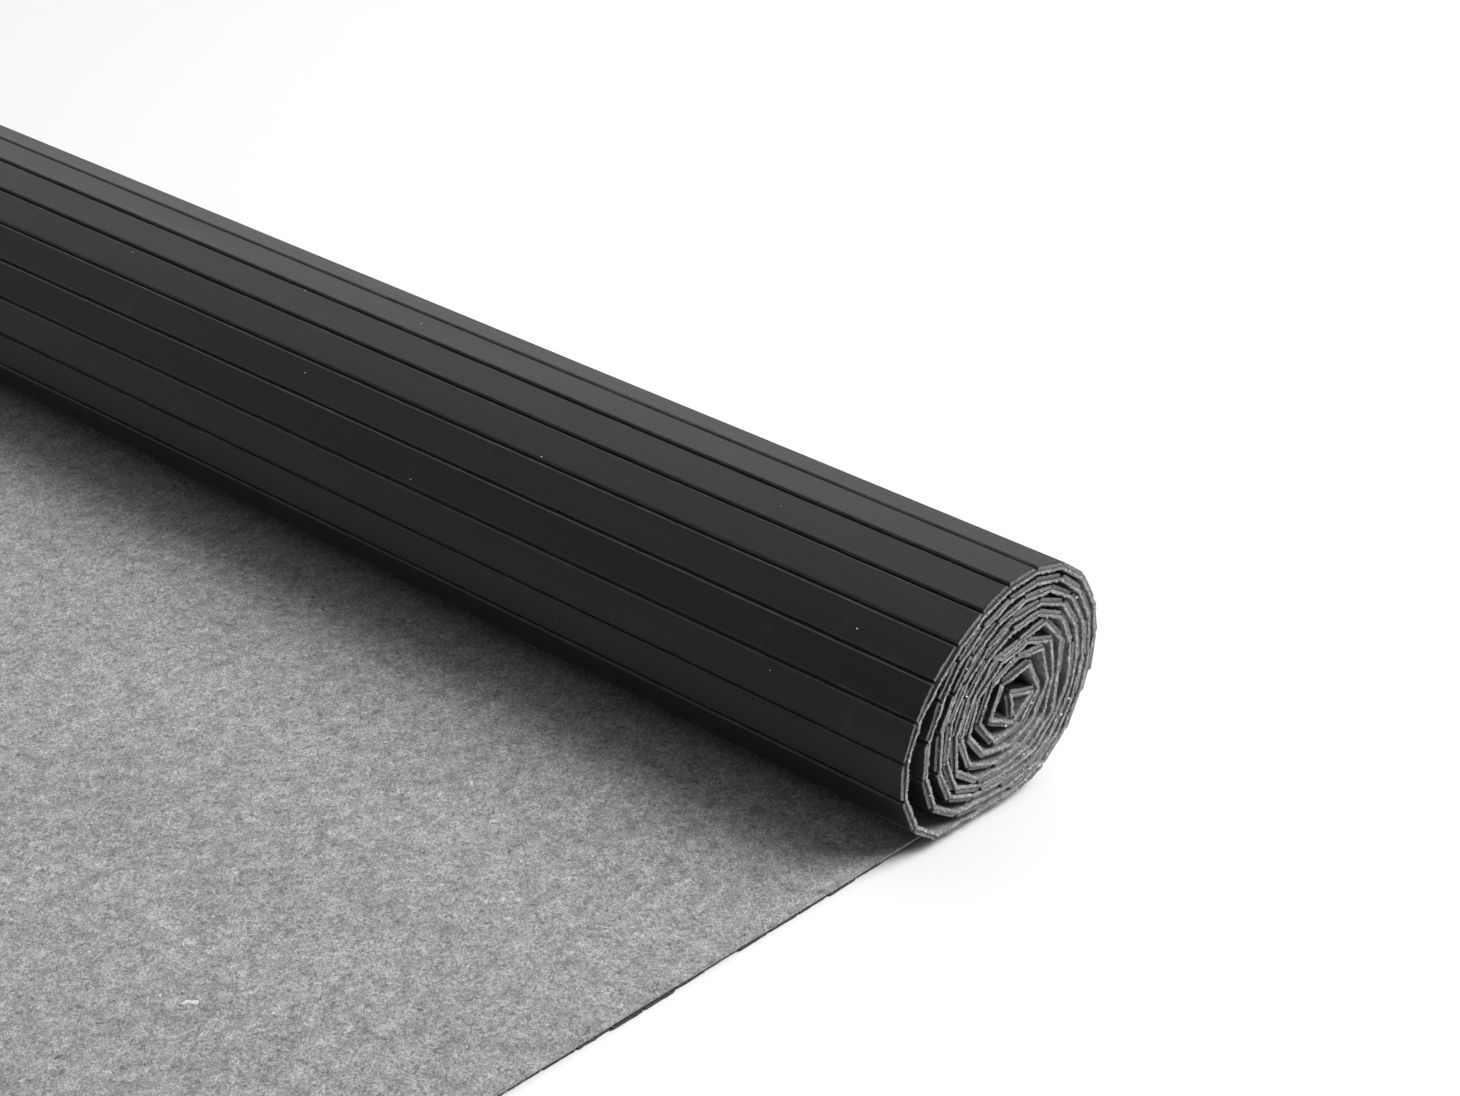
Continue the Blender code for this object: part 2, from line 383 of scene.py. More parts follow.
def ring_places(rings, knuckles):
    """Where a slat's rings lie along it: close at the ends and at the knuckles."""
    places = [step * MM for step in END_RINGS]
    places += [SLAT_LENGTH - step * MM for step in END_RINGS]
    for knuckle in knuckles:
        places += [knuckle + step * MM for step in KNUCKLE_STEPS]
    rest = rings - len(places)
    places += [SLAT_LENGTH * (k + 1) / (rest + 1) for k in range(rest)]
    return sorted(places)


def lay_slat(master, name, number, with_knuckles):
    """Copy a slat, shape it and lay it between its joints."""
    chance = random.Random(100 + number)
    slat = master.copy()
    slat.data = master.data.copy()
    slat.name = name
    slat.data.name = name
    bpy.context.collection.objects.link(slat)
    start = joints[number]
    end = joints[number + 1]
    course = courses[number]
    inner = inward(course)
    middle = (start + end) / 2
    squeeze = ((end - start).length - JOINT_WIDTH) / SLAT_WIDTH
    knuckles = []
    if with_knuckles:
        first = chance.uniform(0.03, 0.30)
        knuckles = [first, first + chance.uniform(0.19, 0.24), first + chance.uniform(0.40, 0.46)]
    rings = round(len(master.data.vertices) / RING_POINTS)
    places = ring_places(rings, knuckles)
    seed = 7.3 * number
    tone = chance.uniform(0.0, 1.0)
    # Painted shade: the flat slats' sawn ends are darkened as if shaded under the felt's overhang;
    # the roll's slats get a random real stain.
    stain_and_shade = FLAT_END_SHADE if number < flat_slats else chance.uniform(0.0, 0.45)
    near = slat_near(number)
    slant = chance.uniform(-0.25, 0.25) * MM / SLAT_WIDTH
    flat_places = []
    nearness = []
    for point in slat.data.vertices:
        across, along, depth = point.co
        ring = round(along / SLAT_LENGTH * (rings - 1))
        along = places[ring]
        closest = min([abs(along - knuckle) for knuckle in knuckles] + [1.0])
        nearness.append(math.exp(-(closest / KNUCKLE_REACH) ** 2))
        flat_places.append((across, along, depth + 0.11 * number))
        outer = ease(-depth / FACE)
        crown = 1.0 - (2.0 * across / SLAT_WIDTH) ** 2
        ridge = RIDGE * math.exp(-(closest / (1.0 * MM)) ** 2)
        depth -= outer * (CROWN * crown - CROWN + ridge) * MM
        depth += BOW * MM * (0.7 + noise.noise((along * 9.0, seed, 0.0)))
        side = abs(across) / (SLAT_WIDTH / 2)
        chips = noise.noise((along * 70.0, seed, across * 90.0))
        wander = noise.noise((along * 5.0, seed, 5.0))
        across += WANDER * MM * wander + CHIP * MM * chips * side ** 4
        if ring in (0, rings - 1):
            rough = 0.45 * noise.noise((across * 900.0, depth * 900.0, seed + along))
            along += rough * MM + slant * across
            across *= 0.985
            depth += (0.5 - outer) * -0.25 * MM
        place = middle + course * across * squeeze + inner * depth
        point.co = (place.x, near + along, max(place.y, FLOOR_ROOM))
    for title, kind, values in (
            ("slat_place", "FLOAT_VECTOR", [value for spot in flat_places for value in spot]),
            ("knuckle", "FLOAT", nearness),
            ("slat_tone", "FLOAT", [tone] * len(nearness)),
            ("end_stain_and_shade", "FLOAT", [stain_and_shade] * len(nearness))):
        attribute = slat.data.attributes.new(title, kind, "POINT")
        field = "vector" if kind == "FLOAT_VECTOR" else "value"
        attribute.data.foreach_set(field, values)
    slat.data.update()
    return slat


# %% Lay the slats that show their face
face_slats = []
for number in range(flat_slats + OUTER_SLATS):
    if number < flat_slats:
        node = "flat_slat_%02d" % (number + 1)
        master = flat_master
    else:
        node = "outer_slat_%02d" % (number + 1 - flat_slats)
        master = roll_master
    slat = lay_slat(master, "lacquered_" + node, number, True)
    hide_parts(node)
    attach(slat, "root")
    face_slats.append(slat)
print("laid", len(face_slats), "slats that show their face")

# %% [markdown]
# ## The slats of the inner turns
# Only the ends of these can be seen, so they are copied from a slat with few rings and joined
# into one piece.

# %% Lay the inner slats
inner_set = [
    lay_slat(core_master, "inner_slat", number, False)
    for number in range(flat_slats + OUTER_SLATS, slat_count)]
only(inner_set[0])
for slat in inner_set:
    slat.select_set(True)
bpy.ops.object.join()
inner_slats = bpy.context.object
inner_slats.name = "inner_slats"
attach(inner_slats, "root")
for master in (roll_master, flat_master, core_master):
    bpy.data.objects.remove(master)
print("inner slats:", len(inner_set), "in a mesh of", len(inner_slats.data.polygons), "faces")

# %% [markdown]
# ## The felt
# The felt is one sheet, cut flat and then wound. It is made the same way: a grid at its flat
# size, given its thickness with Solidify, cut round its rim so that the edge can fray, and then
# every point is carried to its place on the winding. A cloth simulation isn't used, because
# the felt is glued to stiff slats and can only fold at the joints.

# %% Cut the felt flat
CELLS_PER_SLAT = 14
ROWS = 12
bpy.ops.object.select_all(action="DESELECT")
bpy.ops.mesh.primitive_grid_add(
    x_subdivisions=CELLS_PER_SLAT * slat_count, y_subdivisions=ROWS, size=1.0,
    location=(SLAT_PITCH * slat_count / 2, MAT_WIDTH / 2, 0.0))
felt = bpy.context.object
felt.name = "felt_backing"
bpy.ops.transform.resize(value=(SLAT_PITCH * slat_count, MAT_WIDTH, 1.0))
bpy.ops.object.transform_apply(location=True, rotation=True, scale=True)
thickness = felt.modifiers.new("thickness", "SOLIDIFY")
thickness.thickness = FELT_THICK
thickness.offset = 1.0
bpy.ops.object.modifier_apply(modifier="thickness")
bpy.ops.object.mode_set(mode="EDIT")
for level in (0.32, 0.68):
    bpy.ops.mesh.select_all(action="SELECT")
    bpy.ops.mesh.bisect(plane_co=(0.0, 0.0, FELT_THICK * level), plane_no=(0.0, 0.0, 1.0))
bpy.ops.object.mode_set(mode="OBJECT")
print("felt points:", len(felt.data.vertices))

# %% [markdown]
# The rows of the grid are moved towards the two long edges, where the fraying is. Cut felt
# swells at its edge until it meets the next turn, so the cell first measures how much room
# there is. The felt also stands out a little past the slats, here more and there less.

# %% Room and overhang at the felt's edge
ROW_PLACES = (0.0, 0.7, 2.2, 7.0, 40.0, 150.0)
RISE_SLATS = 4.0             # slats over which the flat felt's edge turns into the roll's
MOST_ROOM = 6.0 * MM
FLAT_OVERHANG = 0.35         # mm
BULGE_AT = 37.3              # the slat at which the felt hangs over furthest


def row_place(row):
    """Distance of a row of the grid from the felt's near edge."""
    if row <= ROWS / 2 - 1:
        return ROW_PLACES[row] * MM
    if row == ROWS / 2:
        return MAT_WIDTH / 2
    return MAT_WIDTH - ROW_PLACES[ROWS - row] * MM


def felt_point(place, depth):
    """Point (x, z) of the felt at a place along the mat, in slats, and a depth into it."""
    number = min(int(place), slat_count - 1)
    part = place - number
    point = joints[number].lerp(joints[number + 1], part)
    side = inward(courses[number])
    other = None
    if part < 0.01 and number > 0:
        other = inward(courses[number - 1])
    elif part > 0.99 and number < slat_count - 1:
        other = inward(courses[number + 1])
    if other is None:
        return point + side * depth
    middle = (side + other).normalized()
    return point + middle * depth / middle.dot(side)


slat_faces = []
for number in range(slat_count):
    out = inward(courses[number]) * -FACE
    slat_faces.append((joints[number] + out, joints[number + 1] + out))


def free_room(place):
    """How far the felt can swell at a place before it meets the slats of the next turn."""
    start = felt_point(place, FELT_THICK)
    way = inward(courses[min(int(place), slat_count - 1)])
    least = MOST_ROOM
    for a, b in slat_faces:
        if (a - start).length > 20.0 * MM:
            continue
        side = b - a
        cross = way.x * side.y - way.y * side.x
        if abs(cross) < 1e-9:
            continue
        gap = a - start
        along = (gap.x * side.y - gap.y * side.x) / cross
        part = (gap.x * way.y - gap.y * way.x) / cross
        if 0.0 <= part <= 1.0 and 0.0 < along < least:
            least = along
    return least


def overhang(place):
    """How far the felt stands out past the slats at a place along the mat."""
    wander = 0.55 + 0.8 * noise.noise((place * 0.37, 4.0, 0.0))
    wander += 0.5 * noise.noise((place * 1.9, 5.0, 0.0))
    wander += 0.9 * math.exp(-((place - BULGE_AT) / 1.5) ** 2)
    rolled = ease((place - flat_slats) / RISE_SLATS)
    return (FLAT_OVERHANG + rolled * (max(wander, 0.1) - FLAT_OVERHANG)) * MM


stations = [k / CELLS_PER_SLAT for k in range(CELLS_PER_SLAT * slat_count + 1)]
rooms = [free_room(place) for place in stations]
print("room between turns, mm: least %.2f, middle %.2f" % (
    min(rooms) / MM, sorted(rooms)[len(rooms) // 2] / MM))

# %% Wind the felt
RIM = 5.0 * MM               # how far in from the edge the felt is frayed
MOST_SWELL = 0.9 * MM
flat_places = []
for point in felt.data.vertices:
    length, width, depth = point.co
    station = round(length / SLAT_PITCH * CELLS_PER_SLAT)
    place = station / CELLS_PER_SLAT
    row = round(width / MAT_WIDTH * ROWS)
    width = row_place(row)
    flat_places += [place * SLAT_PITCH, width, depth]
    level = depth / FELT_THICK
    edge = max(0.0, 1.0 - min(width, MAT_WIDTH - width) / RIM)
    side = 1.0 if row < ROWS / 2 else -1.0
    rolled = ease((place - flat_slats) / RISE_SLATS)
    fray = (0.30 + 0.15 * rolled) * noise.noise((place * 0.9, side, 0.0))
    fray += (0.20 + 0.35 * rolled) * noise.noise((place * 11.0, side, level * 1.3))
    if row in (0, ROWS):
        fray -= 0.16 * math.sin(math.pi * level) * side
    swell = 0.35 + 0.65 * noise.noise((place * 7.0, side, 9.0))
    swell = max(swell, 0.0) * rolled * min(rooms[station], MOST_SWELL)
    swell += 0.06 * MM * (1.0 + noise.noise((place * 5.0, side, 2.0)))
    end = felt_point(place, depth + edge ** 2 * level * swell)
    reach = felt_near(place) + width - side * edge * overhang(place)
    point.co = (end.x, reach + edge * fray * MM, end.y)
attribute = felt.data.attributes.new("felt_place", "FLOAT_VECTOR", "POINT")
attribute.data.foreach_set("vector", flat_places)
felt.data.update()
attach(felt, "root")
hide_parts("felt_flat", "felt_roll")
print("felt:", len(felt.data.polygons), "faces")

# %% [markdown]
# ## Fibres
# Cut felt and sawn bamboo both end in loose fibres, and they give the roll's end its pale,
# rough look. One fibre is a three-sided spike with a bend. Thousands of copies stand on
# the cut edges, gathered in one mesh for each side of the mat.

# %% One fibre
bpy.ops.object.select_all(action="DESELECT")
bpy.ops.mesh.primitive_cone_add(
    vertices=3, radius1=1.0, radius2=0.0, depth=1.0, end_fill_type="NGON", location=(0.0, 0.0, 0.5))
fibre = bpy.context.object
fibre.name = "fibre"
bpy.ops.object.transform_apply(location=True, rotation=True, scale=True)
bpy.ops.object.mode_set(mode="EDIT")
pick_edges(fibre, lambda a, b: abs(a.z - b.z) > 0.5)
bpy.ops.mesh.subdivide(number_cuts=1)
pick_edges(fibre, lambda a, b: abs(a.z - 0.5) < 0.1 and abs(b.z - 0.5) < 0.1)
bpy.ops.transform.resize(value=(1.7, 1.7, 1.0))
bpy.ops.object.mode_set(mode="OBJECT")
print("one fibre has", len(fibre.data.polygons), "faces")

# %% [markdown]
# A fibre is placed by its root, its direction, its length and thickness. Its middle is pushed
# sideways, so that it curls. The copies are gathered as lists of points and faces.

# %% Gather fibres
fibre_points = [point.co.copy() for point in fibre.data.vertices]
fibre_faces = [tuple(face.vertices) for face in fibre.data.polygons]


def grow(points, faces, root, direction, length, thickness, curl):
    """Add one fibre to the lists, bent up where it would go through the floor."""
    turn = direction.to_track_quat("Z", "Y").to_matrix()
    first = len(points)
    for spot in fibre_points:
        bend = math.sin(spot.z * math.pi * 0.5) * curl * spot.z
        local = Vector((spot.x * thickness + bend, spot.y * thickness, spot.z * length))
        point = root + turn @ local
        point.z = max(point.z, FLOOR_ROOM)
        points.append(point)
    faces += [tuple(first + corner for corner in face) for face in fibre_faces]


def gather(name, points, faces):
    """One mesh object from the lists."""
    mesh = bpy.data.meshes.new(name)
    mesh.from_pydata(points, [], faces)
    piece = bpy.data.objects.new(name, mesh)
    bpy.context.collection.objects.link(piece)
    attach(piece, "root")
    return piece


# %% Grow the fibres of both edges
FELT_FIBRES = 12500
SLAT_FIBRES = 5500


def fringe(name, side, seed):
    """Loose fibres on one long edge of the mat: side -1 is the near edge, 1 the far one."""
    chance = random.Random(seed)
    points = []
    faces = []
    for _ in range(FELT_FIBRES):
        place = chance.uniform(0.0, slat_count)
        spot = felt_point(place, chance.uniform(0.05, 1.15) * FELT_THICK)
        inset = 0.3 * MM - overhang(place)
        y = felt_near(place) + (MAT_WIDTH - inset if side > 0 else inset)
        direction = Vector((chance.gauss(0, 1.1), side, chance.gauss(0, 1.1))).normalized()
        grow(points, faces, Vector((spot.x, y, spot.y)), direction,
             chance.uniform(0.4, 1.5) * MM, chance.uniform(0.06, 0.17) * MM,
             chance.uniform(-0.5, 0.5) * MM)
    for _ in range(SLAT_FIBRES):
        number = chance.randrange(slat_count)
        width = (joints[number + 1] - joints[number]).length - JOINT_WIDTH
        spot = (joints[number] + joints[number + 1]) / 2
        spot += courses[number] * chance.uniform(-0.48, 0.48) * width
        spot += inward(courses[number]) * -chance.uniform(0.1, 0.95) * FACE
        y = slat_near(number) + (SLAT_LENGTH - 0.2 * MM if side > 0 else 0.2 * MM)
        direction = Vector((chance.gauss(0, 0.5), side, chance.gauss(0, 0.5))).normalized()
        grow(points, faces, Vector((spot.x, y, spot.y)), direction,
             chance.uniform(0.3, 0.9) * MM, chance.uniform(0.05, 0.13) * MM,
             chance.uniform(-0.2, 0.2) * MM)
    piece = gather(name, points, faces)
    return piece


near_fringe = fringe("near_fringe", -1.0, 11)
far_fringe = fringe("far_fringe", 1.0, 12)
bpy.data.objects.remove(fibre)
print("fibre faces on the near edge:", len(near_fringe.data.polygons))

# %% [markdown]
# ## Tufts and lint
# The felt's cut edge is not only hairy, it also pills into small grey tufts. White crumbs of
# lint cling to it too, and a few flakes lie on the felt. One tuft is an icosphere pulled out of
# shape. Its copies are turned, flattened and sized by chance.

# %% One tuft
bpy.ops.object.select_all(action="DESELECT")
bpy.ops.mesh.primitive_ico_sphere_add(subdivisions=1, radius=1.0, location=(0.0, 0.0, 0.0))
tuft = bpy.context.object
tuft.name = "tuft"
WHOLE_TURN = 6.3             # radians
tuft_points = [point.co * (1.0 + 0.9 * noise.noise(point.co * 1.7)) for point in tuft.data.vertices]
tuft_faces = [tuple(face.vertices) for face in tuft.data.polygons]
bpy.data.objects.remove(tuft)


def drop_tuft(chance, points, faces, spot, size):
    """Add one tuft to the lists."""
    turn = Matrix.Rotation(chance.uniform(0.0, WHOLE_TURN), 3, "Z")
    turn @= Matrix.Rotation(chance.uniform(0.0, WHOLE_TURN), 3, "X")
    stretch = Vector((1.0, chance.uniform(0.4, 0.8), chance.uniform(0.3, 0.6)))
    first = len(points)
    for corner in tuft_points:
        point = spot + turn @ (corner * size * stretch)
        point.z = max(point.z, FLOOR_ROOM)
        points.append(point)
    faces.extend(tuple(first + corner for corner in face) for face in tuft_faces)


# %% Set the tufts
FELT_TUFTS = 6500
SLAT_TUFTS = 2200


def pill(name, side, seed):
    """Grey tufts on one long edge of the mat."""
    chance = random.Random(seed)
    points = []
    faces = []
    for _ in range(FELT_TUFTS):
        place = flat_slats + (slat_count - flat_slats) * chance.random()
        depth = chance.uniform(0.0, 1.0) * (FELT_THICK + min(free_room(place), 0.8 * MM))
        spot = felt_point(place, depth)
        inset = chance.uniform(-0.1, 0.35) * MM - overhang(place)
        y = felt_near(place) + (MAT_WIDTH - inset if side > 0 else inset)
        size = chance.uniform(0.18, 0.42) * MM
        drop_tuft(chance, points, faces, Vector((spot.x, y, spot.y)), size)
    for _ in range(SLAT_TUFTS):
        number = chance.randrange(flat_slats, slat_count)
        spot = felt_point(number + chance.uniform(0.03, 0.97), -chance.uniform(0.0, 1.0) * FACE)
        y = slat_near(number) + (SLAT_LENGTH if side > 0 else 0.0)
        size = chance.uniform(0.15, 0.36) * MM
        drop_tuft(chance, points, faces, Vector((spot.x, y, spot.y)), size)
    piece = gather(name, points, faces)
    return piece


near_tufts = pill("near_tufts", -1.0, 21)
far_tufts = pill("far_tufts", 1.0, 22)
print("tuft faces on the near edge:", len(near_tufts.data.polygons))

# %% Scatter the lint
lint_points = []
lint_faces = []
chance = random.Random(5)
# a few specks on the roll: slat, Y, and how far across the slat
SPECKS = (
    (37, -0.02, 0.4), (38, -0.11, 0.8), (36, 0.13, 0.2), (40, -0.21, 0.6), (35, -0.29, 0.5),
    (39, -0.33, 0.3), (41, 0.05, 0.7), (37, -0.36, 0.6), (34, -0.05, 0.5), (38, 0.21, 0.3),
    (36, -0.17, 0.9), (35, 0.02, 0.1),
)
# crumbs of the four flakes that lie on the felt: X, Y, size in mm
FLAKES = (
    (39.0, -187.2, 1.1), (-53.2, -300.6, 1.6), (-133.3, -273.9, 2.6), (-131.2, -275.6, 1.9),
    (-137.3, -262.4, 0.8),
)
for _ in range(60):
    place = chance.uniform(flat_slats + 2, slat_count - 2)
    spot = felt_point(place, chance.uniform(-1.4, 1.0) * MM)
    spot = Vector((spot.x, felt_near(place) - overhang(place) - 0.1 * MM, spot.y))
    drop_tuft(chance, lint_points, lint_faces, spot, chance.choice((0.3, 0.4, 0.5, 0.7)) * MM)
for _ in range(30):
    place = chance.uniform(0.5, flat_slats - 4)
    spot = felt_point(place, FELT_THICK + 0.1 * MM)
    spot = Vector((spot.x, felt_near(place) + chance.uniform(0.02, 0.78), spot.y))
    drop_tuft(chance, lint_points, lint_faces, spot, chance.uniform(0.25, 0.55) * MM)
for number, along, across in SPECKS:
    spot = joints[number].lerp(joints[number + 1], across)
    spot -= inward(courses[number]) * (FACE + 0.1 * MM)
    spot = Vector((spot.x, along, spot.y))
    drop_tuft(chance, lint_points, lint_faces, spot, chance.uniform(0.3, 0.5) * MM)
for x, y, size in FLAKES:
    spot = Vector((x * MM, y * MM, FACE + FELT_THICK + 0.2 * size * MM))
    drop_tuft(chance, lint_points, lint_faces, spot, size * MM)
lint = gather("lint", lint_points, lint_faces)
print("lint faces:", len(lint_faces))

# %% [markdown]
# ## Materials
# The finishes are built from nodes. Two helpers keep the cells short: one starts a material
# and returns its node tree and shader, the other adds a node, sets it and links its inputs.

# %% Material helpers
def start_material(name, roughness):
    """A new material, its node tree and its shader."""
    material = bpy.data.materials.new(name)
    material.use_nodes = True
    tree = material.node_tree
    shader = tree.nodes["Principled BSDF"]
    shader.inputs["Roughness"].default_value = roughness
    return material, tree, shader


def add(tree, kind, links=(), values=(), **settings):
    """Add a node. links and values are pairs of an input and what goes into it."""
    node = tree.nodes.new(kind)
    for key, value in settings.items():
        setattr(node, key, value)
    for socket, value in values:
        node.inputs[socket].default_value = value
    for socket, source in links:
        tree.links.new(source, node.inputs[socket])
    return node


def attribute_of(tree, name):
    """The node that reads one of the mesh's attributes."""
    return add(tree, "ShaderNodeAttribute", attribute_name=name)


def noise_of(tree, vector, stretch, detail=3.0, roughness=0.55, distortion=0.0, turn=0.0):
    """Noise on coordinates that are turned and stretched first; stretch is in cycles a metre."""
    if turn:
        angle = math.radians(turn)
        turned = add(
            tree, "ShaderNodeMapping", [("Vector", vector)], [("Rotation", (0.0, 0.0, angle))])
        vector = turned.outputs["Vector"]
    mapping = add(tree, "ShaderNodeMapping", [("Vector", vector)], [("Scale", stretch)])
    return add(
        tree, "ShaderNodeTexNoise", [("Vector", mapping.outputs["Vector"])],
        [("Scale", 1.0), ("Detail", detail), ("Roughness", roughness), ("Distortion", distortion)])


def ramp(tree, source, low, high, out_low, out_high):
    """Carry a range of one value over to another."""
    node = add(
        tree, "ShaderNodeMapRange", [("Value", source)],
        [("From Min", low), ("From Max", high), ("To Min", out_low), ("To Max", out_high)])
    return node.outputs["Result"]


def calc(tree, operation, first, second):
    """A math node on two sources or numbers."""
    node = tree.nodes.new("ShaderNodeMath")
    node.operation = operation
    for socket, value in zip(node.inputs, (first, second)):
        if isinstance(value, (int, float)):
            socket.default_value = value
        else:
            tree.links.new(value, socket)
    return node.outputs["Value"]


def grey(tree, shader, value, tint=(1.0, 1.0, 1.0)):
    """Give the shader a base colour from one value and a tint."""
    colour = add(tree, "ShaderNodeCombineColor")
    for k in range(3):
        tree.links.new(calc(tree, "MULTIPLY", value, tint[k]), colour.inputs[k])
    tree.links.new(colour.outputs["Color"], shader.inputs["Base Color"])


def relief(tree, shader, parts):
    """Bump from several (height, distance in metres, strength) parts, one on another."""
    normal = None
    for height, distance, strength in parts:
        bump = add(
            tree, "ShaderNodeBump", [("Height", height)],
            [("Distance", distance), ("Strength", strength)])
        if normal:
            tree.links.new(normal, bump.inputs["Normal"])
        normal = bump.outputs["Normal"]
    tree.links.new(normal, shader.inputs["Normal"])


# %% [markdown]
# ### Black lacquer
# The slats' faces are lacquered nearly black, with a satin gloss. The cane's grain still
# shows as fine streaks along the slat, each slat has its own tone, the knuckles show as
# smudges, and the long edges are painted paler: partly rubbed wear, partly a painted
# highlight where the bevels catch the light.

# %% Lacquer
lacquer, tree, shader = start_material("black_lacquer", 0.4)
where = attribute_of(tree, "slat_place").outputs["Vector"]
streaks = noise_of(tree, where, (1500.0, 22.0, 1500.0), 4.0, 0.6).outputs[0]
clouds = noise_of(tree, where, (90.0, 9.0, 90.0), 3.0).outputs[0]
blots = noise_of(tree, where, (260.0, 160.0, 260.0), 2.0).outputs[0]
tone = attribute_of(tree, "slat_tone").outputs["Fac"]
knuckle = attribute_of(tree, "knuckle").outputs["Fac"]
base = ramp(tree, streaks, 0.3, 0.7, 0.006, 0.012)
base = calc(tree, "MULTIPLY", base, ramp(tree, tone, 0.0, 1.0, 0.8, 1.2))
base = calc(tree, "MULTIPLY", base, ramp(tree, clouds, 0.3, 0.7, 0.8, 1.25))
smudge = calc(tree, "MULTIPLY", knuckle, ramp(tree, blots, 0.4, 0.6, 0.0, 0.008))
base = calc(tree, "ADD", base, smudge)
across = add(tree, "ShaderNodeSeparateXYZ", [("Vector", where)]).outputs["X"]
wear_and_highlight_noise = noise_of(tree, where, (60.0, 55.0, 60.0), 5.0, 0.7).outputs[0]
# Painted highlight, partly real wear: the long edges are made paler to stand in for the light their
# bevels catch, broken up by noise; the same mask also makes them a little rougher.
rubbed_and_highlight = ramp(tree, calc(tree, "ABSOLUTE", across, 0.0), 0.0071, 0.0077, 0.0, 1.0)
rubbed_and_highlight = calc(tree, "MULTIPLY", rubbed_and_highlight, ramp(tree, wear_and_highlight_noise, 0.42, 0.66, 0.15, 1.0))
base = calc(tree, "ADD", base, calc(tree, "MULTIPLY", rubbed_and_highlight, 0.045))
grey(tree, shader, base, (1.0, 1.0, 1.02))
gloss = ramp(tree, clouds, 0.3, 0.7, 0.33, 0.43)
gloss = calc(tree, "ADD", gloss, calc(tree, "MULTIPLY", rubbed_and_highlight, 0.15))
tree.links.new(gloss, shader.inputs["Roughness"])
relief(tree, shader, ((streaks, 0.00004, 0.35), (blots, 0.00008, 0.3)))

# %% [markdown]
# ### Sawn bamboo
# The ends are bare bamboo, pale and full of fine bundles that show as dark dots. Some are
# stained darker at random, and the flat slats' ends are painted dark as shade.

# %% Sawn ends
sawn, tree, shader = start_material("sawn_bamboo", 0.85)
where = attribute_of(tree, "slat_place").outputs["Vector"]
grain = noise_of(tree, where, (3200.0, 60.0, 3200.0), 4.0, 0.65).outputs[0]
patches = noise_of(tree, where, (500.0, 60.0, 900.0), 2.0).outputs[0]
base = ramp(tree, grain, 0.32, 0.68, 0.12, 0.40)
base = calc(tree, "MULTIPLY", base, ramp(tree, patches, 0.35, 0.65, 0.6, 1.2))
# The end attribute darkens the sawn ends: a random stain on the roll's slats, and painted shade on
# the flat slats, which lie under the felt's overhang.
stain_and_shade = attribute_of(tree, "end_stain_and_shade").outputs["Fac"]
base = calc(tree, "MULTIPLY", base, ramp(tree, stain_and_shade, 0.0, 1.0, 1.0, 0.05))
grey(tree, shader, base)
relief(tree, shader, ((grain, 0.0003, 0.7),))

# %% [markdown]
# ### Felt
# Pressed wool has no weave. Its fibres lie in curly clumps a millimetre or two wide, so its
# colour is mottled at that size, with small dark specks and soft, wider clouds.

# %% Felt
wool, tree, shader = start_material("grey_felt", 0.95)
shader.inputs["Sheen Weight"].default_value = 0.25
shader.inputs["Sheen Roughness"].default_value = 0.6
where = attribute_of(tree, "felt_place").outputs["Vector"]
clumps = noise_of(tree, where, (460.0, 460.0, 460.0), 5.0, 0.68, 1.4).outputs[0]
hairs_a = noise_of(tree, where, (1400.0, 300.0, 900.0), 3.0, 0.6, 1.5, 48.0).outputs[0]
hairs_b = noise_of(tree, where, (1400.0, 380.0, 900.0), 3.0, 0.6, 1.5, 15.0).outputs[0]
clouds = noise_of(tree, where, (110.0, 110.0, 110.0), 3.0).outputs[0]
wide = noise_of(tree, where, (14.0, 14.0, 14.0), 2.0).outputs[0]
hairs = calc(tree, "MAXIMUM", hairs_a, hairs_b)
base = ramp(tree, clumps, 0.30, 0.70, 0.075, 0.535)
base = calc(tree, "MULTIPLY", base, ramp(tree, hairs, 0.42, 0.72, 0.55, 1.55))
base = calc(tree, "MULTIPLY", base, ramp(tree, clouds, 0.3, 0.7, 0.76, 1.24))
base = calc(tree, "MULTIPLY", base, ramp(tree, wide, 0.3, 0.7, 0.93, 1.07))
specks = noise_of(tree, where, (380.0, 380.0, 380.0), 2.0).outputs[0]
base = calc(tree, "MULTIPLY", base, ramp(tree, specks, 0.26, 0.40, 0.45, 1.0))
depth = add(tree, "ShaderNodeSeparateXYZ", [("Vector", where)]).outputs["Z"]
base = calc(tree, "MULTIPLY", base, ramp(tree, depth, 0.0001, 0.0003, 0.03, 1.0))
grey(tree, shader, base)
relief(tree, shader, ((clumps, 0.0006, 0.8), (hairs, 0.0002, 0.6)))

# %% Fibres and lint
loose, tree, shader = start_material("loose_fibres", 0.95)
shader.inputs["Sheen Weight"].default_value = 0.3
place = add(tree, "ShaderNodeTexCoord").outputs["Object"]
mottle = noise_of(tree, place, (900.0, 900.0, 900.0), 3.0, 0.7).outputs[0]
grey(tree, shader, ramp(tree, mottle, 0.32, 0.68, 0.12, 0.56))

white, tree, shader = start_material("white_lint", 0.95)
shader.inputs["Sheen Weight"].default_value = 0.3
place = add(tree, "ShaderNodeTexCoord").outputs["Object"]
mottle = noise_of(tree, place, (900.0, 900.0, 900.0)).outputs[0]
grey(tree, shader, ramp(tree, mottle, 0.3, 0.7, 0.65, 0.9))
print("materials:", [m.name for m in (lacquer, sawn, wool, loose, white)])

